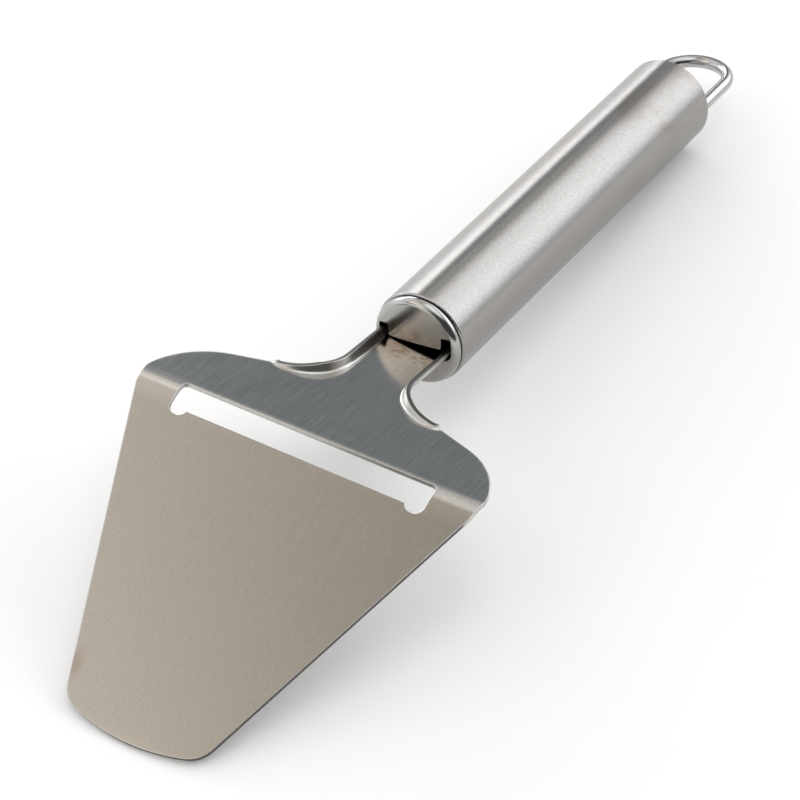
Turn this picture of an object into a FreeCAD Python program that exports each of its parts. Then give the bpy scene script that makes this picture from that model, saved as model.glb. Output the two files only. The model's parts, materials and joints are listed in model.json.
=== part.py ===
import FreeCAD, Part
import math
import os
from FreeCAD import Vector

# A sheet steel cheese slicer on a hollow round handle, in millimetres.
# Working frame: X runs from the blade tip to the hanging loop, Y is across
# the blade, Z is up, and the origin is on the handle axis at the seam
# between the front cap and the handle tube.

# Handle tube
TUBE_D = 21.0
TUBE_WALL = 0.5
TUBE_L = 113.2
TUBE_EDGE_R = 0.4
SEAM_GAP = 0.35

# Front cap, a pressed cup whose spigot sits in the tube
CAP_RIM_STEP = 0.4
CAP_RIM_L = 2.3
CAP_EDGE_R = 1.4
CAP_DOME_R = 80.0
CAP_WALL = 0.8
CAP_SPIGOT_L = 7.0

# Slicing plate, from the bend to the tip; the width is where its sides and the shoulder's would meet
SHEET_T = 0.9
BLADE_W = 80.06
PLATE_L = 70.9
PLATE_TAPER = 0.356
TIP_R = 44.0
TIP_CORNER_R = 6.0

# Bend between the plate and the shoulder
BEND_X = 44.6
BEND_Z = 2.87
BEND_R = 7.5
PLATE_PITCH_DEG = 27.85
SHOULDER_PITCH_DEG = 4.85

# Shoulder outline, measured from the bend along the shoulder
FLARE_X = 17.95
SIDE_CORNER_X = 13.1
SIDE_SLOPE = 0.155
SHOULDER_R = 17.5
FLARE_R = 11.25

# Turned-up flanges beside the neck
FLANGE_H = 2.0
FLANGE_R = 0.7
FLANGE_TURN_DEG = 75.0
FLANGE_END_L = 0.5
FLANGE_END_R = 2.85
FLANGE_END_TURN_DEG = 50.0
FLANGE_CHEEK_L = 2.5
FLANGE_FALL = 1.7
FLANGE_FALL_L = 10.5
TANG_BEHIND_FACE = 10.4

# Slicing slot
SLOT_HALF_L = 29.75
SLOT_BACK = 1.7
SLOT_LIP = 4.7
SLOT_CORNER_R = 1.2
RELIEF_R = 2.1
BEVEL_L = 2.6
EDGE_LAND = 0.15

# Rear plug and hanging loop
PLUG_T = 2.6
PLUG_RECESS = 0.5
LOOP_WIRE_D = 3.05
LOOP_REACH = 22.0
LOOP_LEG_INSIDE = 1.6

# Weld beads
TANG_BEAD_R = 1.8
TANG_BEAD_L = 3.6
LOOP_BEAD = 1.1

# The handle is assembled with a slight roll about its own axis
HANDLE_ROLL_DEG = -6.4

# Clearances, and how far cutting shapes run past what they cut
TANG_SIDE_CLEAR = 0.88
NOTCH_SIDE_CLEAR = 0.3
NOTCH_IN_CLEAR = 1.1
NOTCH_TOP_CLEAR = 1.7
TANG_TOP_CLEAR = 0.9
TANG_UNDER_CLEAR = 0.9
CAP_SLOT_R = 0.5
CAP_SLOT_LOW_R = 2.0
LEG_CLEAR = 0.05
LEG_SIDE_CLEAR = 0.15
OVERRUN = 3.0

tube_r = TUBE_D / 2
bore_r = tube_r - TUBE_WALL
cap_r = tube_r - CAP_RIM_STEP
tube_end = SEAM_GAP + TUBE_L
bend_deg = PLATE_PITCH_DEG + SHOULDER_PITCH_DEG
bend_out_r = BEND_R + SHEET_T
bend_tan = bend_out_r * math.tan(math.radians(bend_deg) / 2)
half_w = BLADE_W / 2
bend_half_w = half_w - SIDE_SLOPE * bend_tan
plate_half_w = half_w - PLATE_TAPER * bend_tan
wire_r = LOOP_WIRE_D / 2
loop_half_w = bore_r - LEG_SIDE_CLEAR - wire_r
X_AXIS = Vector(1, 0, 0)
Y_AXIS = Vector(0, 1, 0)
Z_AXIS = Vector(0, 0, 1)
ORIGIN = Vector(0, 0, 0)
SAME_POINT = 1e-6


def moved(shape, angle_deg, axis, about):
    """A copy turned about an axis through a point."""
    out = shape.copy()
    out.rotate(about, axis, angle_deg)
    return out


def shifted(shape, offset):
    """A copy moved by an offset."""
    out = shape.copy()
    out.translate(offset)
    return out


def mirrored(shape):
    """The other hand of a shape, across the middle plane of the blade."""
    return shape.mirror(ORIGIN, Y_AXIS)


def fused(shapes):
    """One solid from several that touch or overlap."""
    first = shapes[0]
    return first.fuse(shapes[1:]).removeSplitter()


def rounded_face(corners):
    """A flat face from (x, y, corner radius) triples."""
    count = len(corners)
    starts = []
    ends = []
    mids = []
    for i in range(count):
        x, y, radius = corners[i]
        here = Vector(x, y, 0)
        before = Vector(corners[i - 1][0], corners[i - 1][1], 0)
        after = Vector(corners[(i + 1) % count][0], corners[(i + 1) % count][1], 0)
        if radius <= 0:
            starts.append(here)
            ends.append(here)
            mids.append(None)
            continue
        to_before = (before - here).normalize()
        to_after = (after - here).normalize()
        half = to_before.getAngle(to_after) / 2
        reach = radius / math.tan(half)
        inward = (to_before + to_after).normalize()
        starts.append(here + to_before * reach)
        ends.append(here + to_after * reach)
        mids.append(here + inward * (radius / math.sin(half) - radius))
    edges = []
    for i in range(count):
        if mids[i] is not None:
            edges.append(Part.Arc(starts[i], mids[i], ends[i]).toShape())
        next_start = starts[(i + 1) % count]
        if not ends[i].isEqual(next_start, SAME_POINT):
            edges.append(Part.makeLine(ends[i], next_start))
    return Part.Face(Part.Wire(edges))


def slab(corners, bottom, top):
    """A straight-sided solid standing on a rounded outline."""
    face = rounded_face(corners)
    face.translate(Vector(0, 0, bottom))
    return face.extrude(Vector(0, 0, top - bottom))


def profile_face(points):
    """A flat face from a closed run of points and three-point arcs."""
    edges = []
    here = points[0]
    for step in points[1:]:
        if isinstance(step, tuple):
            edges.append(Part.Arc(here, step[0], step[1]).toShape())
            here = step[1]
        else:
            edges.append(Part.makeLine(here, step))
            here = step
    edges.append(Part.makeLine(here, points[0]))
    return Part.Face(Part.Wire(edges))


def turned(points):
    """A solid of revolution about X from (x, radius) points."""
    run = [Vector(x, 0, r) for x, r in points]
    face = Part.Face(Part.makePolygon(run + run[:1]))
    return face.revolve(ORIGIN, X_AXIS, 360)


def rounded_ring(solid, x_level, radius_level, fillet_r):
    """Round the circular edges that lie at one place along the axis."""
    picked = []
    tol = fillet_r / 10
    for edge in solid.Edges:
        if not isinstance(edge.Curve, Part.Circle):
            continue
        centre = edge.Curve.Center
        if abs(centre.x - x_level) < tol and abs(edge.Curve.Radius - radius_level) < tol:
            picked.append(edge)
    return solid.makeFillet(fillet_r, picked)


# Flange section: u runs outward from the neck edge and w runs up.
turn = math.radians(FLANGE_TURN_DEG)
flange_out_r = FLANGE_R + SHEET_T
flange_rise = (FLANGE_H - FLANGE_R * (1 - math.cos(turn))) / math.sin(turn)


def on_flange(radius, angle, along):
    """Section point at a radius, turn angle and straight length past it."""
    u = radius * math.sin(angle) + along * math.cos(turn)
    w = FLANGE_R - radius * math.cos(angle) + along * math.sin(turn)
    return u, w


section = [
    on_flange(FLANGE_R, 0, 0),
    (on_flange(FLANGE_R, turn / 2, 0), on_flange(FLANGE_R, turn, 0)),
    on_flange(FLANGE_R, turn, flange_rise),
    on_flange(flange_out_r, turn, flange_rise),
    on_flange(flange_out_r, turn, 0),
    (on_flange(flange_out_r, turn / 2, 0), on_flange(flange_out_r, 0, 0)),
]


def placed_section(place):
    """The flange section with each (u, w) pair put in space."""
    points = []
    for step in section:
        if isinstance(step[0], tuple):
            points.append((place(*step[0]), place(*step[1])))
        else:
            points.append(place(*step))
    return profile_face(points)


flange_reach = on_flange(flange_out_r, turn, flange_rise)[0]
flange_in_reach = on_flange(FLANGE_R, turn, flange_rise)[0]
neck_half_w = bore_r - CAP_WALL - TANG_SIDE_CLEAR - flange_reach

# Blade, laid out with the shoulder flat: the top face is at zero height, the
# bend is at zero length and the tang runs in the positive direction.
pitch = math.radians(SHOULDER_PITCH_DEG)
face_x = -CAP_RIM_L
tang_end = (BEND_X + face_x + TANG_BEHIND_FACE) / math.cos(pitch)
side_corner_y = half_w - SIDE_SLOPE * SIDE_CORNER_X
flare_x0 = FLARE_X + FLARE_R
flare_y0 = neck_half_w + FLARE_R
end_turn = math.radians(FLANGE_END_TURN_DEG)
end_axis = Vector(FLARE_X + FLANGE_END_R, flare_y0 + FLANGE_END_L, 0)
toe = end_axis + Vector(-math.cos(end_turn), math.sin(end_turn), 0) * FLANGE_END_R
side_corner = Vector(SIDE_CORNER_X, side_corner_y, 0)
side_run = Vector(bend_tan, bend_half_w, 0) - side_corner
corner_half = side_run.getAngle(toe - side_corner) / 2
shoulder_r = min(SHOULDER_R, side_run.Length * math.tan(corner_half))
half_outline = [
    (tang_end, neck_half_w, 0),
    (FLARE_X, neck_half_w, FLARE_R),
    (FLARE_X, end_axis.y + FLANGE_END_R * math.tan(end_turn / 2), FLANGE_END_R),
    (toe.x, toe.y, 0),
    (SIDE_CORNER_X, side_corner_y, shoulder_r),
    (bend_tan, bend_half_w, 0),
]
other_half = [(x, -y, r) for x, y, r in reversed(half_outline)]
shoulder = slab(half_outline + other_half, -SHEET_T, 0)

neck_face = placed_section(lambda u, w: Vector(flare_x0, neck_half_w + u, w))
end_face = placed_section(lambda u, w: Vector(FLARE_X + u, end_axis.y, w))
neck_part = neck_face.extrude(Vector(tang_end - flare_x0, 0, 0))
flare_part = neck_face.revolve(Vector(flare_x0, flare_y0, 0), Z_AXIS, -90)
straight_part = end_face.extrude(Vector(0, -FLANGE_END_L, 0))
end_part = end_face.revolve(end_axis, Z_AXIS, -FLANGE_END_TURN_DEG)

# The flange drops to the sheet in a rounded cheek where it ends.
cheek_start = Vector(FLARE_X, end_axis.y - FLANGE_CHEEK_L, FLANGE_H)
cheek_mid_turn = math.radians(45)
cheek_mid = cheek_start + Vector(
    0,
    FLANGE_CHEEK_L * math.sin(cheek_mid_turn),
    FLANGE_H * (math.cos(cheek_mid_turn) - 1),
)
cheek_end = Vector(FLARE_X, end_axis.y, 0)
cheek_face = profile_face([
    cheek_start,
    (cheek_mid, cheek_end),
    cheek_end + Vector(0, OVERRUN, 0),
    cheek_end + Vector(0, OVERRUN, FLANGE_H + OVERRUN),
    cheek_start + Vector(0, 0, OVERRUN),
])
cheek_cut = cheek_face.extrude(Vector(FLANGE_END_R, 0, 0))
cheek_cut = moved(cheek_cut, -FLANGE_END_TURN_DEG, Z_AXIS, end_axis)

# Its top edge also falls along the last stretch before the cheek.
fall_start = Vector(FLARE_X - OVERRUN, toe.y - FLANGE_FALL_L, FLANGE_H)
fall_run = FLANGE_FALL_L + OVERRUN
fall_end = fall_start + Vector(0, fall_run, -FLANGE_FALL * fall_run / FLANGE_FALL_L)
fall_face = profile_face([
    fall_start,
    fall_end,
    Vector(fall_end.x, fall_end.y, FLANGE_H + OVERRUN),
    fall_start + Vector(0, 0, OVERRUN),
])
fall_cut = fall_face.extrude(Vector(FLARE_R + 2 * OVERRUN, 0, 0))
flange = fused([neck_part, flare_part, straight_part, end_part]).cut(cheek_cut).cut(fall_cut)

# Bend, with its sides drawn in from the shoulder's width to the plate's
bend_axis = Vector(bend_tan, 0, -bend_out_r)
bend_face = Part.Face(Part.makePolygon([
    Vector(bend_tan, -bend_half_w, 0),
    Vector(bend_tan, bend_half_w, 0),
    Vector(bend_tan, bend_half_w, -SHEET_T),
    Vector(bend_tan, -bend_half_w, -SHEET_T),
    Vector(bend_tan, -bend_half_w, 0),
]))
bend = bend_face.revolve(bend_axis, Y_AXIS, -bend_deg)
bend_front = -bend_tan * math.cos(math.radians(bend_deg))
side_trim = slab([
    (bend_tan, bend_half_w, 0),
    (bend_front, plate_half_w, 0),
    (bend_front, half_w + OVERRUN, 0),
    (bend_tan, half_w + OVERRUN, 0),
], -bend_out_r, OVERRUN)
bend = bend.cut(side_trim).cut(mirrored(side_trim))

# Plate
tip_half_w = half_w - PLATE_TAPER * PLATE_L
flat_plate = slab([
    (-bend_tan, plate_half_w, 0),
    (-PLATE_L, tip_half_w, 0),
    (-PLATE_L, -tip_half_w, 0),
    (-bend_tan, -plate_half_w, 0),
], -SHEET_T, 0)
tip_centre = Vector(TIP_R - PLATE_L, 0, -SHEET_T - OVERRUN)
tip_round = Part.makeCylinder(TIP_R, SHEET_T + 2 * OVERRUN, tip_centre)
square_end = slab([
    (0, half_w + OVERRUN, 0),
    (-PLATE_L / 2, half_w + OVERRUN, 0),
    (-PLATE_L / 2, -half_w - OVERRUN, 0),
    (0, -half_w - OVERRUN, 0),
], -SHEET_T - OVERRUN, OVERRUN)
flat_plate = flat_plate.common(tip_round.fuse(square_end)).removeSplitter()
tip_corners = []
for edge in flat_plate.Edges:
    low = edge.Vertexes[0].Point
    high = edge.Vertexes[-1].Point
    upright = abs(high.z - low.z) > SHEET_T / 2
    if upright and low.x < -PLATE_L / 2:
        tip_corners.append(edge)
flat_plate = flat_plate.makeFillet(TIP_CORNER_R, tip_corners)

# Slot through the plate side of the bend, with a relief at each end of the
# cutting edge, and through the shoulder side of it.
relief_y = SLOT_HALF_L - RELIEF_R
relief_x = -SLOT_LIP + RELIEF_R / 3
slot_low = -SHEET_T - OVERRUN
plate_slot = slab([
    (-bend_tan / 2, SLOT_HALF_L, 0),
    (relief_x, SLOT_HALF_L, 0),
    (relief_x, -SLOT_HALF_L, 0),
    (-bend_tan / 2, -SLOT_HALF_L, 0),
], slot_low, OVERRUN)
lip_slot = slab([
    (relief_x, relief_y, 0),
    (-SLOT_LIP, relief_y, 0),
    (-SLOT_LIP, -relief_y, 0),
    (relief_x, -relief_y, 0),
], slot_low, OVERRUN)
reliefs = []
for side in (1, -1):
    at = Vector(relief_x, side * relief_y, slot_low)
    reliefs.append(Part.makeCylinder(RELIEF_R, OVERRUN - slot_low, at))
bevel_face = Part.Face(Part.makePolygon([
    Vector(-SLOT_LIP, -relief_y, -EDGE_LAND),
    Vector(-SLOT_LIP - BEVEL_L, -relief_y, -SHEET_T),
    Vector(-SLOT_LIP - BEVEL_L, -relief_y, -SHEET_T - OVERRUN),
    Vector(-SLOT_LIP + OVERRUN, -relief_y, -SHEET_T - OVERRUN),
    Vector(-SLOT_LIP + OVERRUN, -relief_y, -EDGE_LAND),
    Vector(-SLOT_LIP, -relief_y, -EDGE_LAND),
]))
bevel = bevel_face.extrude(Vector(0, 2 * relief_y, 0))
plate_cut = fused([plate_slot, lip_slot] + reliefs + [bevel])
shoulder_cut = slab([
    (SLOT_BACK, SLOT_HALF_L, SLOT_CORNER_R),
    (-bend_tan, SLOT_HALF_L, 0),
    (-bend_tan, -SLOT_HALF_L, 0),
    (SLOT_BACK, -SLOT_HALF_L, SLOT_CORNER_R),
], slot_low, OVERRUN)

plate = moved(flat_plate, -bend_deg, Y_AXIS, ORIGIN)
plate_cut = moved(plate_cut, -bend_deg, Y_AXIS, ORIGIN)
blade = fused([shoulder, bend, plate, flange, mirrored(flange)])
blade = blade.cut(plate_cut).cut(shoulder_cut).removeSplitter()
blade = shifted(moved(blade, SHOULDER_PITCH_DEG, Y_AXIS, ORIGIN), Vector(-BEND_X, 0, BEND_Z))

# Handle tube
tube = turned([
    (SEAM_GAP, bore_r),
    (SEAM_GAP, tube_r),
    (tube_end, tube_r),
    (tube_end, bore_r),
])
for level in (SEAM_GAP, tube_end):
    tube = rounded_ring(tube, level, tube_r, TUBE_EDGE_R)

# Front cap: a domed cup with a rounded rim and a channel-shaped slot for the tang
cap_back = face_x + CAP_WALL
dome_centre = Vector(face_x + CAP_DOME_R, 0, 0)
rim_x = dome_centre.x - math.sqrt(CAP_DOME_R ** 2 - cap_r ** 2)
cap = turned([
    (face_x, 0),
    (face_x, cap_r),
    (0, cap_r),
    (0, bore_r),
    (CAP_SPIGOT_L, bore_r),
    (CAP_SPIGOT_L, 0),
])
cap_inside = turned([
    (face_x, 0),
    (face_x, bore_r - CAP_WALL),
    (CAP_SPIGOT_L + OVERRUN, bore_r - CAP_WALL),
    (CAP_SPIGOT_L + OVERRUN, 0),
])
cap = cap.common(Part.makeSphere(CAP_DOME_R, dome_centre))
cap = rounded_ring(cap, rim_x, cap_r, CAP_EDGE_R)
cap = cap.cut(cap_inside.common(Part.makeSphere(CAP_DOME_R - CAP_WALL, dome_centre)))
face_run = (BEND_X + face_x) * math.tan(pitch)
floor_z = BEND_Z - face_run
tang_low = floor_z - SHEET_T - TANG_UNDER_CLEAR
notch_in = neck_half_w + flange_in_reach - NOTCH_IN_CLEAR
notch_out = neck_half_w + flange_reach + NOTCH_SIDE_CLEAR
notch_top = floor_z + FLANGE_H + NOTCH_TOP_CLEAR
slot_top = floor_z + TANG_TOP_CLEAR
half_slot = [
    (tang_low, notch_out, CAP_SLOT_LOW_R),
    (notch_top, notch_out, CAP_SLOT_R),
    (notch_top, notch_in, CAP_SLOT_R),
    (slot_top, notch_in, CAP_SLOT_R),
]
other_slot = [(z, -y, r) for z, y, r in reversed(half_slot)]
cap_cut = slab(half_slot + other_slot, 0, CAP_WALL + 2 * OVERRUN)
cap_cut = shifted(moved(cap_cut, -90, Y_AXIS, ORIGIN), Vector(cap_back + OVERRUN, 0, 0))
cap_cut = moved(cap_cut, HANDLE_ROLL_DEG, X_AXIS, ORIGIN)
cap = cap.cut(cap_cut)

# Rear plug, loop and the beads that hold the loop
plug_back = tube_end - PLUG_RECESS
plug_front = plug_back - PLUG_T
plug = turned([
    (plug_front, 0),
    (plug_front, bore_r),
    (plug_back, bore_r),
    (plug_back, 0),
])
leg_end = tube_end + LOOP_REACH - loop_half_w - wire_r
leg_start = plug_front - LOOP_LEG_INSIDE
legs = []
leg_holes = []
loop_beads = []
for side in (1, -1):
    leg_at = Vector(leg_start, side * loop_half_w, 0)
    legs.append(Part.makeCylinder(wire_r, leg_end - leg_start, leg_at, X_AXIS))
    hole_at = Vector(plug_front - OVERRUN, side * loop_half_w, 0)
    leg_holes.append(Part.makeCylinder(wire_r + LEG_CLEAR, PLUG_T + 2 * OVERRUN, hole_at, X_AXIS))
    bead = turned([
        (plug_front, wire_r),
        (plug_front, wire_r + LOOP_BEAD),
        (plug_front - LOOP_BEAD, wire_r),
    ])
    bore_room = Part.makeCylinder(bore_r, TUBE_L, Vector(SEAM_GAP, 0, 0), X_AXIS)
    loop_beads.append(shifted(bead, Vector(0, side * loop_half_w, 0)).common(bore_room))
wire_face = Part.Face(Part.Wire(Part.makeCircle(wire_r, Vector(leg_end, loop_half_w, 0), X_AXIS)))
loop_bow = wire_face.revolve(Vector(leg_end, 0, 0), Z_AXIS, -180)
loop = moved(fused(legs + [loop_bow]), HANDLE_ROLL_DEG, X_AXIS, ORIGIN)
plug = moved(plug.cut(leg_holes[0].fuse(leg_holes[1])), HANDLE_ROLL_DEG, X_AXIS, ORIGIN)
loop_welds = moved(Part.makeCompound(loop_beads), HANDLE_ROLL_DEG, X_AXIS, ORIGIN)

# Beads that hold the tang to the back of the cap, under the tang
under_z = BEND_Z - (BEND_X + cap_back) * math.tan(pitch) - SHEET_T / math.cos(pitch)
behind_cap = Part.makeBox(TANG_BEAD_R + OVERRUN, TUBE_D, TUBE_D, Vector(cap_back, -tube_r, -tube_r))
tang_beads = []
for side in (1, -1):
    bead_at = Vector(cap_back, (side * neck_half_w - TANG_BEAD_L) / 2, under_z)
    bead = Part.makeCylinder(TANG_BEAD_R, TANG_BEAD_L, bead_at, Y_AXIS)
    below = bead.common(behind_cap).cut(blade).cut(cap)
    lowest = min(below.Solids, key=lambda s: s.CenterOfMass.z)
    tang_beads.append(lowest)
tang_welds = Part.makeCompound(tang_beads)

# Rest pose: tip edge and rear rim of the tube on the ground, ground at zero
# height, and the middle of the whole part at zero along and across.
plate_pitch = math.radians(PLATE_PITCH_DEG)
tip_x = -BEND_X - PLATE_L * math.cos(plate_pitch) + SHEET_T * math.sin(plate_pitch)
tip_z = BEND_Z - PLATE_L * math.sin(plate_pitch) - SHEET_T * math.cos(plate_pitch)
rear_x = tube_end - TUBE_EDGE_R - tip_x
rear_z = TUBE_EDGE_R - tube_r - tip_z
rest_slope = math.atan2(rear_z, rear_x) - math.asin(TUBE_EDGE_R / math.hypot(rear_x, rear_z))
rest_deg = math.degrees(rest_slope)

pieces = {
    "blade": blade,
    "front_cap": cap,
    "handle_tube": tube,
    "rear_plug": plug,
    "hanging_loop": loop,
    "tang_welds": tang_welds,
    "loop_welds": loop_welds,
}
rested = {}
for name, shape in pieces.items():
    rested[name] = moved(shape, rest_deg, Y_AXIS, ORIGIN)
box = Part.makeCompound(list(rested.values())).optimalBoundingBox(False)
to_origin = Vector(-(box.XMin + box.XMax) / 2, -(box.YMin + box.YMax) / 2, -box.ZMin)

os.makedirs("parts", exist_ok=True)
for name, shape in rested.items():
    shape.translate(to_origin)
    shape.exportStep("parts/" + name + ".step")
    print(name, "valid", shape.isValid(), "solids", len(shape.Solids), "volume", round(shape.Volume, 1))
print("size", round(box.XLength, 2), round(box.YLength, 2), round(box.ZLength, 2))
print("tilt", round(rest_deg, 4), "shift", [round(v, 3) for v in to_origin])
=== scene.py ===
import bpy
import json
import math
from mathutils import Matrix, Vector


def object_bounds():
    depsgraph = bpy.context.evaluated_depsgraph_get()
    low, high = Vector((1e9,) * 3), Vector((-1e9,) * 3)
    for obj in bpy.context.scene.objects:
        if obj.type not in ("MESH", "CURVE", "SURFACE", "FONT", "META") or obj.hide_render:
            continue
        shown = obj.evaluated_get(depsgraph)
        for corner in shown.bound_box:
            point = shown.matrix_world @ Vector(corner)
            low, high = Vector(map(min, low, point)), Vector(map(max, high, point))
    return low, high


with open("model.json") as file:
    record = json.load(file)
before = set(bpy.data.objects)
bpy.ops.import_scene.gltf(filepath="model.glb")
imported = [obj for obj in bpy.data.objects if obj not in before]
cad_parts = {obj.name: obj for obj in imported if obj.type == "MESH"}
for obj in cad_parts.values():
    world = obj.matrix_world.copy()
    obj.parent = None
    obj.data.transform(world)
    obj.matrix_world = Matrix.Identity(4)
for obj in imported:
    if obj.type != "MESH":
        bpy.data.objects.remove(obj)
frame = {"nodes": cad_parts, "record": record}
cad_low, cad_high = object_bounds()
nodes = frame["nodes"]

# The handle's axis leans a little in the row frame, with the tip and the rear rim on the floor.
MM_IN_M = 1000
grip = next(mount for mount in frame["record"]["mounts"] if mount["name"] == "handle_grip")
handle_axis = Vector(grip["axis"])
handle_lean = math.atan2(-handle_axis.z, handle_axis.x)
grip_half = grip["dims"]["length_mm"] / 2 / MM_IN_M
grip_start = Vector(grip["pos_m"]) - handle_axis * grip_half

# Camera, in metres and degrees, for a square picture
CAMERA_AT = Vector((-0.43758, -0.25346, 0.45072))
CAMERA_TARGET = Vector((-0.02253, -0.00116, 0.01185))
CAMERA_ROLL_DEG = -0.21
CAMERA_LENS_MM = 141.43
SENSOR_MM = 36.0
CAMERA_CLIP_START = 0.01
CAMERA_CLIP_END = 50.0

# Floor: half its width in metres, its paint, and the white that is added where it is seen
FLOOR_HALF = 6.0
FLOOR_COLOUR = (0.90, 0.90, 0.90)
FLOOR_WHITE = 0.09

# Studio: the sky's colour at set heights in degrees, then panels of light and shade, each laid over
# the ones before it. A panel has a centre, half sizes and soft edges in degrees, left of the handle's
# direction and above the horizon.
HALF_TURN = 180.0
ZENITH = 90.0
SKY = [
    (0, (0.55, 0.55, 0.56)),
    (20, (0.52, 0.52, 0.53)),
    (45, (0.80, 0.78, 0.75)),
    (57, (1.03, 0.95, 0.86)),
    (62, (0.85, 0.775, 0.68)),
    (66, (0.57, 0.505, 0.42)),
    (70, (0.39, 0.35, 0.29)),
    (90, (0.42, 0.38, 0.33)),
]
PANELS = {
    "low window": {"at": (112, 14), "half": (56, 15), "soft": (12, 6), "colour": (1.25, 1.26, 1.28)},
    "high window": {"at": (86, 40), "half": (34, 14), "soft": (10, 6), "colour": (1.10, 1.13, 1.17)},
    "back ceiling": {"at": (30, 52), "half": (32, 11), "soft": (8, 4), "colour": (1.05, 1.01, 0.96)},
    "back lamp": {"at": (57, 56.5), "half": (6, 3), "soft": (7, 4), "colour": (1.50, 1.42, 1.32)},
    "back shade": {"at": (28, 28), "half": (15, 13), "soft": (11, 5), "colour": (0.23, 0.257, 0.275)},
    "left shade": {"at": (39, 43), "half": (5, 5), "soft": (5, 4), "colour": (0.45, 0.46, 0.46)},
    "back glow": {"at": (26, 39), "half": (6, 7), "soft": (5, 6), "colour": (0.80, 0.79, 0.77)},
    "back key": {"at": (-30, 25.5), "half": (36, 17.5), "soft": (12, 8), "colour": (2.22, 2.24, 2.27)},
    "back strip": {"at": (58.5, 18.5), "half": (24.5, 6.8), "soft": (3, 2.5), "colour": (4.10, 4.10, 4.10)},
    "front window": {"at": (146, 36.5), "half": (18, 9), "soft": (8, 3), "colour": (2.05, 1.87, 1.68)},
    "low shade": {"at": (140, 23), "half": (12, 6), "soft": (5, 3), "colour": (0.20, 0.19, 0.18)},
    "front gap": {"at": (167, 45), "half": (22, 5.5), "soft": (3, 2), "colour": (0.33, 0.35, 0.34)},
    "front ceiling": {"at": (150, 57), "half": (32, 8), "soft": (24, 5), "colour": (1.45, 1.31, 1.16)},
    "front shade": {"at": (-130, 24), "half": (52, 29), "soft": (12, 8), "colour": (0.08, 0.08, 0.08)},
    "right ceiling": {"at": (-75, 72), "half": (100, 14), "soft": (14, 5), "colour": (1.40, 1.44, 1.48)},
    "overhead": {"at": (0, 90), "half": (300, 14), "soft": (1, 4), "colour": (1.74, 1.79, 1.84)},
}

# Steel colours
BLADE_COLOUR = (0.53, 0.52, 0.50)
BLADE_GRAIN = (0.48, 0.47, 0.45)
BLADE_HAZE = (0.60, 0.59, 0.55)
HEAT_TINT = (0.46, 0.40, 0.33)
STAIN = (0.32, 0.25, 0.18)
# Painted highlight: the lighter tone the plate takes on just before the bend
BEND_PAINTED_HIGHLIGHT = (0.66, 0.65, 0.63)
CUT_EDGE = (0.09, 0.088, 0.085)
TUBE_COLOUR = (0.43, 0.428, 0.425)
TUBE_SMUDGE = (0.34, 0.31, 0.285)
# Painted shade on the tube's rear top and lower side, and on the cap's lower part
PAINTED_SHADE_STEEL = (0.25, 0.235, 0.225)
CAP_COLOUR = (0.45, 0.445, 0.435)
# Painted shade: near black on the cap's rim edge at the seam
SEAM_SHADE = (0.03, 0.03, 0.03)
PLUG_COLOUR = (0.50, 0.50, 0.49)
LOOP_COLOUR = (0.45, 0.448, 0.445)
WELD_COLOUR = (0.36, 0.34, 0.32)

# Noise: its roughness, the band of it that is used, and its detail on coarse and fine patterns
NOISE_ROUGHNESS = 0.6
NOISE_BAND = (0.28, 0.72)
CLOUD_DETAIL = 3.0
RICH_DETAIL = 4.0
GRAIN_DETAIL = 2.0
MIDDLE = 0.5

# Edges that are rounded in the light only, in metres
EDGE_SAMPLES = 8
EDGE_ROUND = 0.0002

# Places and stretches along the handle's axis, from the front end of the grip, in metres
BEND_AT = -0.0454
CAP_FACE_AT = -0.0030
SEAM_AT = -0.0009
PALE_TIP = (-0.1105, -0.1045)
PLATE_END = (BEND_AT - 0.004, BEND_AT - 0.003)
PAINTED_HIGHLIGHT_RISE = (BEND_AT - 0.0055, BEND_AT - 0.0015)
PAINTED_HIGHLIGHT_FALL = (BEND_AT - 0.002, BEND_AT)
SHOULDER_RISE = (BEND_AT - 0.001, BEND_AT + 0.002)
SHOULDER_START = (BEND_AT + 0.002, BEND_AT + 0.003)
NECK_RISE = (BEND_AT + 0.005, BEND_AT + 0.008)
HEAT_RISE = (CAP_FACE_AT - 0.010, CAP_FACE_AT)
STAIN_RISE = (CAP_FACE_AT - 0.009, CAP_FACE_AT - 0.003)
SEAM_RISE = (SEAM_AT - 0.0001, SEAM_AT + 0.0001)
TUBE_REAR = (0.04, 0.10)

# The sheet's slopes in degrees from the handle's axis and its bend line. Its flanges end at a distance
# across, and rise and reach their top at heights above the shoulder, all in metres.
PLATE_SLOPE_DEG = 27.85
SHOULDER_SLOPE_DEG = -4.85
BEND_LINE_AT = (-0.04535, 0.0, 0.00287)
FLANGE_END = (0.022, 0.023)
FLANGE_RISE = (0.00001, 0.0004)
FLANGE_TOP = (0.0004, 0.0006)

# How level a face is, from 0 for a cut edge to 1 for the sheet's own face
EDGE_LEVELS = (0.3, 0.7)
TOP_LEVELS = (0.7, 0.9)

# Blade finish: sizes of its patterns in metres, then the share of each tone and the roughness
BLADE_LINES = (0.009, 0.00028, 0.009)
BLADE_LINE_RELIEF = 0.0000015
BLADE_GRAIN_SIZE = 0.0004
BLADE_CLOUD_SIZE = 0.007
BLADE_MOTTLE_SIZE = 0.0014
BLADE_CONTRAST = 0.12
PLATE_LINES_SHARE = 0.08
BLADE_GRAIN_SHARE = 0.8
PAINTED_HIGHLIGHT_SHARE = 0.6
HAZE_SHARE = 0.35
PALE_TIP_SHARE = 0.8
STAIN_SHARE = 0.8
STAIN_BAND = (0.35, 0.95)
SHEET_ROUGH = 0.14
FLANGE_ROUGH = 0.32
BLADE_ROUGH_SPREAD = 0.03
PLATE_EDGE_ROUND = 0.0003
NECK_EDGE_ROUND = 0.0006

# A brown mark by the tip's left corner, as a place and half sizes in metres
TIP_MARK_AT = (-0.1000, 0.0182, -0.0259)
TIP_MARK_HALF = (0.0060, 0.0034, 0.0060)
TIP_MARK_SHARE = 0.45

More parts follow.
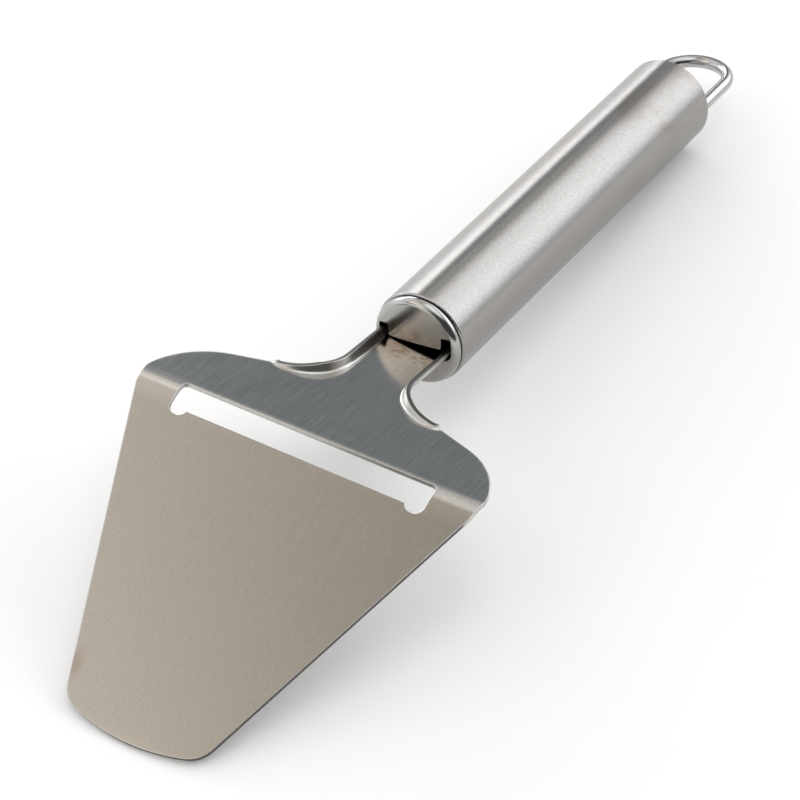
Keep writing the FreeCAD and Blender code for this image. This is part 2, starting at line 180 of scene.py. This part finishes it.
# Tube finish, in the same way
TUBE_LINES = (0.00016, 0.004, 0.004)
TUBE_LINE_RELIEF = 0.000003
TUBE_GRAIN_SIZE = 0.0005
TUBE_CLOUD = (0.014, 0.009, 0.009)
TUBE_CONTRAST = 0.03
TUBE_GRAIN_SHARE = 0.5
SMUDGE_BAND = (0.5, 1.0)
SMUDGE_SHARES = (0.05, 0.7)
TUBE_ROUGH = 0.247
TUBE_ROUGH_SPREAD = 0.015
TUBE_STRETCH = 0.93
QUARTER_TURN = 0.25

# Painted shade: a dark band along the tube's rear top, and the heights over which the tube darkens below
TUBE_TOP_SHADE_AT = (0.105, -0.0017, 0.0104)
TUBE_TOP_SHADE_HALF = (0.050, 0.0042, 0.0042)
TUBE_TOP_SHADE_SHARES = (0.5, 0.75)
TUBE_SHADE_BELOW = (0.0032, 0.0062)
TUBE_SHADE_BELOW_SHARE = 0.5

# Cap finish, in the same way, with its polished rim at distances from the axis
CAP_GRAIN = (0.0006, 0.0003, 0.0003)
CAP_GRAIN_RELIEF = 0.000003
CAP_CLOUD_SIZE = 0.004
CAP_CONTRAST = 0.03
# Heights over which painted shade darkens the cap's lower part, and how strongly
CAP_SHADE_BELOW = (-0.0015, 0.0045)
CAP_SHADE_BELOW_SHARE = 0.6
CAP_RIM = (0.0083, 0.0092)
CAP_ROUGH = 0.16
RIM_ROUGH = 0.12
CAP_ROUGH_SPREAD = 0.04
SEAM_ROUGH = 0.4

# Plain finishes: colour, contrast, lowest and highest roughness, and size and relief of the grain
PLUG_STEEL = {"colour": PLUG_COLOUR, "contrast": 0.05, "rough": (0.2, 0.3), "grain": (0.0004, 0.000004)}
LOOP_STEEL = {"colour": LOOP_COLOUR, "contrast": 0.02, "rough": (0.11, 0.15), "grain": (0.0008, 0.000001)}
WELD_STEEL = {"colour": WELD_COLOUR, "contrast": 0.2, "rough": (0.3, 0.5), "grain": (0.0006, 0.00008)}
GRAINS_PER_EDGE = 4


class Shader:
    """A node tree with short ways to add and join its nodes."""

    MIX_FIRST = "_6"
    MIX_SECOND = "_7"
    MIX_RESULT = 2

    def __init__(self, tree):
        self.tree = tree
        tree.nodes.clear()

    def add(self, kind, settings=None, **inputs):
        """A new node, with its settings and its inputs, which are values or other nodes' outputs."""
        node = self.tree.nodes.new(kind)
        for name, value in (settings or {}).items():
            setattr(node, name, value)
        for name, value in inputs.items():
            self.put(node, name, value)
        return node

    def put(self, node, name, value):
        """Sets or joins one input, named by its label with _ for a space, or by its number as _0."""
        key = int(name[1:]) if name[1:].isdigit() else name.replace("_", " ")
        if isinstance(value, bpy.types.NodeSocket):
            self.tree.links.new(value, node.inputs[key])
        else:
            node.inputs[key].default_value = value

    def math(self, operation, first, second=0.0, third=0.0):
        """The result of a sum on up to three numbers."""
        node = self.add("ShaderNodeMath", {"operation": operation}, _0=first, _1=second, _2=third)
        return node.outputs[0]

    def vector(self, operation, first, second=(0.0, 0.0, 0.0)):
        """The node of a sum on one or two vectors."""
        return self.add("ShaderNodeVectorMath", {"operation": operation}, _0=first, _1=second)

    def ramp(self, value, low, high, to_low=0.0, to_high=1.0):
        """A smooth change from one number to another as a value goes from low to high."""
        node = self.add("ShaderNodeMapRange", {"interpolation_type": "SMOOTHSTEP"}, Value=value)
        self.put(node, "From_Min", low)
        self.put(node, "From_Max", high)
        self.put(node, "To_Min", to_low)
        self.put(node, "To_Max", to_high)
        return node.outputs[0]

    def mix(self, factor, first, second):
        """One colour going over to another."""
        node = self.add("ShaderNodeMix", {"data_type": "RGBA"}, Factor=factor)
        self.put(node, self.MIX_FIRST, first)
        self.put(node, self.MIX_SECOND, second)
        return node.outputs[self.MIX_RESULT]


def opaque(colour):
    """A colour with its fourth number."""
    return (*colour, 1.0)


def shades(colour, contrast):
    """A darker and a lighter copy of a colour."""
    dark = [level * (1.0 - contrast) for level in colour]
    light = [level * (1.0 + contrast) for level in colour]
    return opaque(dark), opaque(light)


def make_camera():
    """The camera, turned to its target and then about its own line of sight."""
    data = bpy.data.cameras.new("camera")
    data.lens = CAMERA_LENS_MM
    data.sensor_width = SENSOR_MM
    data.clip_start = CAMERA_CLIP_START
    data.clip_end = CAMERA_CLIP_END
    camera = bpy.data.objects.new("camera", data)
    bpy.context.scene.collection.objects.link(camera)
    turn = (CAMERA_TARGET - CAMERA_AT).to_track_quat("-Z", "Y").to_matrix()
    roll = Matrix.Rotation(math.radians(CAMERA_ROLL_DEG), 3, "Z")
    camera.matrix_world = Matrix.Translation(CAMERA_AT) @ (turn @ roll).to_4x4()
    bpy.context.scene.camera = camera


def sky_light(shader, height):
    """The sky's colour, which follows the height above the horizon in degrees."""
    ramp = shader.add("ShaderNodeValToRGB", Fac=shader.math("DIVIDE", height, ZENITH))
    stops = ramp.color_ramp.elements
    while len(stops) < len(SKY):
        stops.new(1.0)
    for stop, (degrees, colour) in zip(stops, SKY):
        stop.position = degrees / ZENITH
        stop.color = opaque(colour)
    return ramp.outputs["Color"]


def panel_cover(shader, bearing, height, panel):
    """How far a direction lies on a soft-edged panel, from 0 to 1."""
    (bearing_at, height_at), half, soft = panel["at"], panel["half"], panel["soft"]
    turn = shader.math("ABSOLUTE", shader.math("SUBTRACT", bearing, float(bearing_at)))
    past_half_turn = shader.math("ABSOLUTE", shader.math("SUBTRACT", turn, HALF_TURN))
    aside = shader.math("SUBTRACT", HALF_TURN, past_half_turn)
    above = shader.math("ABSOLUTE", shader.math("SUBTRACT", height, float(height_at)))
    across = shader.ramp(aside, half[0] - soft[0], half[0] + soft[0], 1.0, 0.0)
    up = shader.ramp(above, half[1] - soft[1], half[1] + soft[1], 1.0, 0.0)
    return shader.math("MULTIPLY", across, up)


def make_studio():
    """The world's light: a sky with soft-edged panels over it."""
    world = bpy.data.worlds.new("studio")
    world.use_nodes = True
    bpy.context.scene.world = world
    shader = Shader(world.node_tree)
    look = shader.add("ShaderNodeTexCoord").outputs["Generated"]
    parts = parts_of(shader, look)
    height = shader.math("DEGREES", shader.math("ARCSINE", parts["Z"]))
    bearing = shader.math("DEGREES", shader.math("ARCTAN2", parts["Y"], parts["X"]))
    light = sky_light(shader, height)
    for panel in PANELS.values():
        cover = panel_cover(shader, bearing, height, panel)
        light = shader.mix(cover, light, opaque(panel["colour"]))
    background = shader.add("ShaderNodeBackground", Color=light)
    shader.add("ShaderNodeOutputWorld", Surface=background.outputs[0])


def new_material(name):
    """An empty material and its node tree."""
    material = bpy.data.materials.new(name)
    material.use_nodes = True
    return material, Shader(material.node_tree)


def floor_paper():
    """Pale paper that keeps its shadows, with some white added where the camera or the steel sees it."""
    material, shader = new_material("floor_paper")
    paper = shader.add("ShaderNodeBsdfDiffuse", Color=opaque(FLOOR_COLOUR))
    path = shader.add("ShaderNodeLightPath").outputs
    seen = shader.math("ADD", path["Is Camera Ray"], path["Is Glossy Ray"])
    seen = shader.math("MINIMUM", shader.math("ADD", seen, path["Is Transmission Ray"]), 1.0)
    white = shader.add("ShaderNodeEmission", Strength=shader.math("MULTIPLY", seen, FLOOR_WHITE))
    both = shader.add("ShaderNodeAddShader", _0=paper.outputs[0], _1=white.outputs[0])
    shader.add("ShaderNodeOutputMaterial", Surface=both.outputs[0])
    return material


def make_floor():
    """A wide flat floor at the part's lowest point."""
    mesh = bpy.data.meshes.new("floor")
    signs = [(-1, -1), (1, -1), (1, 1), (-1, 1)]
    corners = [(x * FLOOR_HALF, y * FLOOR_HALF, cad_low.z) for x, y in signs]
    mesh.from_pydata(corners, [], [(0, 1, 2, 3)])
    mesh.materials.append(floor_paper())
    floor = bpy.data.objects.new("floor", mesh)
    bpy.context.scene.collection.objects.link(floor)


def handle_place(shader):
    """Places in metres along, across and above the handle's axis, from the front end of the grip."""
    straighten = Matrix.Rotation(-handle_lean, 3, "Y")
    place = shader.add("ShaderNodeTexCoord").outputs["Object"]
    turned = shader.add("ShaderNodeMapping", Vector=place, Rotation=(0.0, -handle_lean, 0.0))
    shader.put(turned, "Location", -(straighten @ grip_start))
    return turned.outputs[0]


def parts_of(shader, place):
    """The three numbers of a place or a direction, as X, Y and Z."""
    return shader.add("ShaderNodeSeparateXYZ", Vector=place).outputs


def noise(shader, place, sizes, detail=CLOUD_DETAIL):
    """A cloudy number from 0 to 1 whose patches have these sizes in metres along each axis."""
    scale = tuple(1.0 / size for size in sizes)
    spread = shader.vector("MULTIPLY", place, scale).outputs[0]
    texture = shader.add("ShaderNodeTexNoise", Vector=spread, Scale=1.0, Detail=detail)
    shader.put(texture, "Roughness", NOISE_ROUGHNESS)
    return shader.ramp(texture.outputs[0], *NOISE_BAND)


def patches(shader, place, size, detail=CLOUD_DETAIL):
    """A cloudy number from 0 to 1 with round patches of one size in metres."""
    return noise(shader, place, (size, size, size), detail)


def spot(shader, place, middle, half):
    """A soft spot, 1 in its middle and 0 at its half sizes in metres."""
    offset = shader.vector("SUBTRACT", place, middle).outputs[0]
    shares = shader.vector("DIVIDE", offset, half).outputs[0]
    return shader.ramp(shader.vector("LENGTH", shares).outputs["Value"], 0.0, 1.0, 1.0, 0.0)


def steel_surface(shader, tone, rough, height, relief, edge_round):
    """A metal surface with fine relief and slightly rounded edges, joined to its output."""
    edges = shader.add("ShaderNodeBevel", {"samples": EDGE_SAMPLES}, Radius=edge_round).outputs[0]
    bumps = shader.add("ShaderNodeBump", Strength=1.0, Distance=relief, Height=height, Normal=edges)
    surface = shader.add("ShaderNodeBsdfPrincipled", Base_Color=tone, Metallic=1.0, Roughness=rough)
    shader.put(surface, "Normal", bumps.outputs[0])
    shader.add("ShaderNodeOutputMaterial", Surface=surface.outputs[0])
    return surface


def sheet_up(slope_deg, lean=0.0):
    """The direction square to a flat part of the sheet, leaning with the handle or not."""
    slope = math.radians(slope_deg) - lean
    return -math.sin(slope), 0.0, math.cos(slope)


def raised_height(shader, place):
    """The height of a place above the flat shoulder, which only the flanges have there."""
    from_bend = shader.vector("SUBTRACT", place, BEND_LINE_AT).outputs[0]
    return shader.vector("DOT_PRODUCT", from_bend, sheet_up(SHOULDER_SLOPE_DEG)).outputs["Value"]


def face_level(shader, slope_deg):
    """How level a face is with a flat part of the sheet: 1 or -1 on the sheet, 0 on its cut edges."""
    facing = shader.add("ShaderNodeNewGeometry").outputs["Normal"]
    return shader.vector("DOT_PRODUCT", facing, sheet_up(slope_deg, handle_lean)).outputs["Value"]


def steepness(shader, level):
    """How far a face stands across the sheet, from 0 to 1."""
    return shader.ramp(shader.math("ABSOLUTE", level), *EDGE_LEVELS, 1.0, 0.0)


def cut_edges(shader, place, raised):
    """Where the sheet's cut edges show, from 0 to 1: on the plate, the shoulder and the flanges."""
    parts = parts_of(shader, place)
    on_plate = shader.ramp(parts["X"], *PLATE_END, 1.0, 0.0)
    on_shoulder = shader.ramp(parts["X"], *SHOULDER_START)
    past_flange = shader.ramp(shader.math("ABSOLUTE", parts["Y"]), *FLANGE_END)
    on_top = shader.ramp(raised, *FLANGE_TOP)
    shoulder_level = face_level(shader, SHOULDER_SLOPE_DEG)
    plate_edge = shader.math("MULTIPLY", steepness(shader, face_level(shader, PLATE_SLOPE_DEG)), on_plate)
    shoulder_edge = shader.math("MULTIPLY", steepness(shader, shoulder_level), past_flange)
    flange_top = shader.math("MULTIPLY", on_top, shader.ramp(shoulder_level, *TOP_LEVELS))
    behind = shader.math("MULTIPLY", shader.math("MAXIMUM", shoulder_edge, flange_top), on_shoulder)
    return shader.math("MAXIMUM", plate_edge, behind)


def brushed_sheet(shader, along, lines, grain, cloud):
    """The blade's tone: brushed shoulder lines, fine grain, a painted highlight by the bend and a haze."""
    shoulder = shader.ramp(along, *SHOULDER_RISE, PLATE_LINES_SHARE, 1.0)
    streak = shader.math("MULTIPLY_ADD", shader.math("SUBTRACT", lines, MIDDLE), shoulder, MIDDLE)
    tone = shader.mix(streak, *shades(BLADE_COLOUR, BLADE_CONTRAST))
    tone = shader.mix(shader.math("MULTIPLY", grain, BLADE_GRAIN_SHARE), tone, opaque(BLADE_GRAIN))
    # Painted highlight: the plate's tone lightens over a few millimetres before the bend
    painted_highlight = shader.ramp(along, *PAINTED_HIGHLIGHT_RISE, 0.0, PAINTED_HIGHLIGHT_SHARE)
    painted_highlight = shader.math("MULTIPLY", painted_highlight, shader.ramp(along, *PAINTED_HIGHLIGHT_FALL, 1.0, 0.0))
    tone = shader.mix(painted_highlight, tone, opaque(BEND_PAINTED_HIGHLIGHT))
    haze = shader.math("MULTIPLY", shader.math("MULTIPLY", cloud, shoulder), HAZE_SHARE)
    return shader.mix(haze, tone, opaque(BLADE_HAZE))


def worn_sheet(shader, place, along, cloud, tone):
    """The blade's tone with heat and stains by the cap, a paler tip and a mark by the tip's corner."""
    heat = shader.math("MULTIPLY", shader.ramp(along, *HEAT_RISE), cloud)
    tone = shader.mix(heat, tone, opaque(HEAT_TINT))
    pale = shader.math("MULTIPLY", shader.ramp(along, *PALE_TIP, PALE_TIP_SHARE, 0.0), cloud)
    tone = shader.mix(pale, tone, opaque(BLADE_HAZE))
    mottle = patches(shader, place, BLADE_MOTTLE_SIZE)
    near_cap = shader.ramp(along, *STAIN_RISE, 0.0, STAIN_SHARE)
    stain_and_shade = shader.math("MULTIPLY", shader.ramp(mottle, *STAIN_BAND), near_cap)
    mark = shader.math("MULTIPLY", spot(shader, place, TIP_MARK_AT, TIP_MARK_HALF), TIP_MARK_SHARE)
    return shader.mix(shader.math("MAXIMUM", stain_and_shade, mark), tone, opaque(STAIN))


def blade_steel():
    """Sheet brushed along the shoulder, with a satin plate, dark cut edges and a heat tint at the cap."""
    material, shader = new_material("blade_steel")
    place = handle_place(shader)
    along = parts_of(shader, place)["X"]
    raised = raised_height(shader, place)
    lines = noise(shader, place, BLADE_LINES, RICH_DETAIL)
    grain = patches(shader, place, BLADE_GRAIN_SIZE, GRAIN_DETAIL)
    cloud = patches(shader, place, BLADE_CLOUD_SIZE)
    tone = brushed_sheet(shader, along, lines, grain, cloud)
    tone = worn_sheet(shader, place, along, cloud, tone)
    tone = shader.mix(cut_edges(shader, place, raised), tone, opaque(CUT_EDGE))
    flat_rough = shader.ramp(raised, *FLANGE_RISE, SHEET_ROUGH, FLANGE_ROUGH)
    rough = shader.math("MULTIPLY_ADD", lines, BLADE_ROUGH_SPREAD, flat_rough)
    edge_round = shader.ramp(along, *NECK_RISE, PLATE_EDGE_ROUND, NECK_EDGE_ROUND)
    steel_surface(shader, tone, rough, lines, BLADE_LINE_RELIEF, edge_round)
    return material


def tube_steel():
    """Tube ground round and round, so its reflections blur along it, with brown smudges at the rear and
    painted shade.
    """
    material, shader = new_material("tube_steel")
    place = handle_place(shader)
    parts = parts_of(shader, place)
    lines = noise(shader, place, TUBE_LINES)
    grain = patches(shader, place, TUBE_GRAIN_SIZE, GRAIN_DETAIL)
    cloud = noise(shader, place, TUBE_CLOUD, RICH_DETAIL)
    tone = shader.mix(lines, *shades(TUBE_COLOUR, TUBE_CONTRAST))
    tone = shader.mix(shader.math("MULTIPLY", grain, TUBE_GRAIN_SHARE), tone, opaque(TUBE_SMUDGE))
    rear = shader.ramp(parts["X"], *TUBE_REAR, *SMUDGE_SHARES)
    smudge = shader.math("MULTIPLY", shader.ramp(cloud, *SMUDGE_BAND), rear)
    tone = shader.mix(smudge, tone, opaque(TUBE_SMUDGE))
    # Painted shade: a darker band along the top of the rear, and a darker lower side
    stain_and_shade = spot(shader, place, TUBE_TOP_SHADE_AT, TUBE_TOP_SHADE_HALF)
    stain_and_shade = shader.math("MULTIPLY", stain_and_shade, shader.ramp(cloud, 0.0, 1.0, *TUBE_TOP_SHADE_SHARES))
    shade_below = shader.ramp(parts["Z"], *TUBE_SHADE_BELOW, TUBE_SHADE_BELOW_SHARE, 0.0)
    tone = shader.mix(shader.math("MAXIMUM", stain_and_shade, shade_below), tone, opaque(PAINTED_SHADE_STEEL))
    rough = shader.math("MULTIPLY_ADD", cloud, TUBE_ROUGH_SPREAD, TUBE_ROUGH)
    surface = steel_surface(shader, tone, rough, lines, TUBE_LINE_RELIEF, EDGE_ROUND)
    surface.inputs["Anisotropic"].default_value = TUBE_STRETCH
    surface.inputs["Anisotropic Rotation"].default_value = QUARTER_TURN
    round_handle = shader.add("ShaderNodeTangent", {"direction_type": "RADIAL", "axis": "X"})
    shader.put(surface, "Tangent", round_handle.outputs[0])
    return material


def cap_steel():
    """Pressed steel with a satin face, a polished rim, and painted shade below and in the seam behind the
    rim.
    """
    material, shader = new_material("cap_steel")
    place = handle_place(shader)
    parts = parts_of(shader, place)
    grain = noise(shader, place, CAP_GRAIN)
    cloud = patches(shader, place, CAP_CLOUD_SIZE)
    tone = shader.mix(grain, *shades(CAP_COLOUR, CAP_CONTRAST))
    # Painted shade: the cap darkens towards its lower part
    shade_below = shader.ramp(parts["Z"], *CAP_SHADE_BELOW, CAP_SHADE_BELOW_SHARE, 0.0)
    tone = shader.mix(shade_below, tone, opaque(PAINTED_SHADE_STEEL))
    # Painted shade: the rim's rear edge by the seam is near black, as shade in the groove
    seam = shader.ramp(parts["X"], *SEAM_RISE)
    tone = shader.mix(seam, tone, opaque(SEAM_SHADE))
    off_axis = shader.vector("MULTIPLY", place, (0.0, 1.0, 1.0)).outputs[0]
    from_axis = shader.vector("LENGTH", off_axis).outputs["Value"]
    polish = shader.ramp(from_axis, *CAP_RIM, CAP_ROUGH, RIM_ROUGH)
    rough = shader.math("MULTIPLY_ADD", cloud, CAP_ROUGH_SPREAD, polish)
    rough = shader.math("MULTIPLY_ADD", seam, SEAM_ROUGH, rough)
    steel_surface(shader, tone, rough, grain, CAP_GRAIN_RELIEF, EDGE_ROUND)
    return material


def plain_steel(name, finish):
    """Steel with an even fine grain."""
    material, shader = new_material(name)
    size, relief = finish["grain"]
    smooth, coarse = finish["rough"]
    grain = patches(shader, handle_place(shader), size)
    tone = shader.mix(grain, *shades(finish["colour"], finish["contrast"]))
    rough = shader.math("MULTIPLY_ADD", grain, coarse - smooth, smooth)
    steel_surface(shader, tone, rough, grain, relief, size / GRAINS_PER_EDGE)
    return material


def dress(node, material):
    """Gives a CAD node its material in every slot."""
    slots = nodes[node].data.materials
    slots.clear()
    slots.append(material)


def dress_all():
    """The finish of every piece."""
    weld = plain_steel("weld_steel", WELD_STEEL)
    dress("blade", blade_steel())
    dress("handle_tube", tube_steel())
    dress("front_cap", cap_steel())
    dress("rear_plug", plain_steel("plug_steel", PLUG_STEEL))
    dress("hanging_loop", plain_steel("loop_steel", LOOP_STEEL))
    dress("tang_welds", weld)
    dress("loop_welds", weld)


bpy.context.scene.view_settings.view_transform = "Standard"
make_camera()
make_studio()
make_floor()
dress_all()
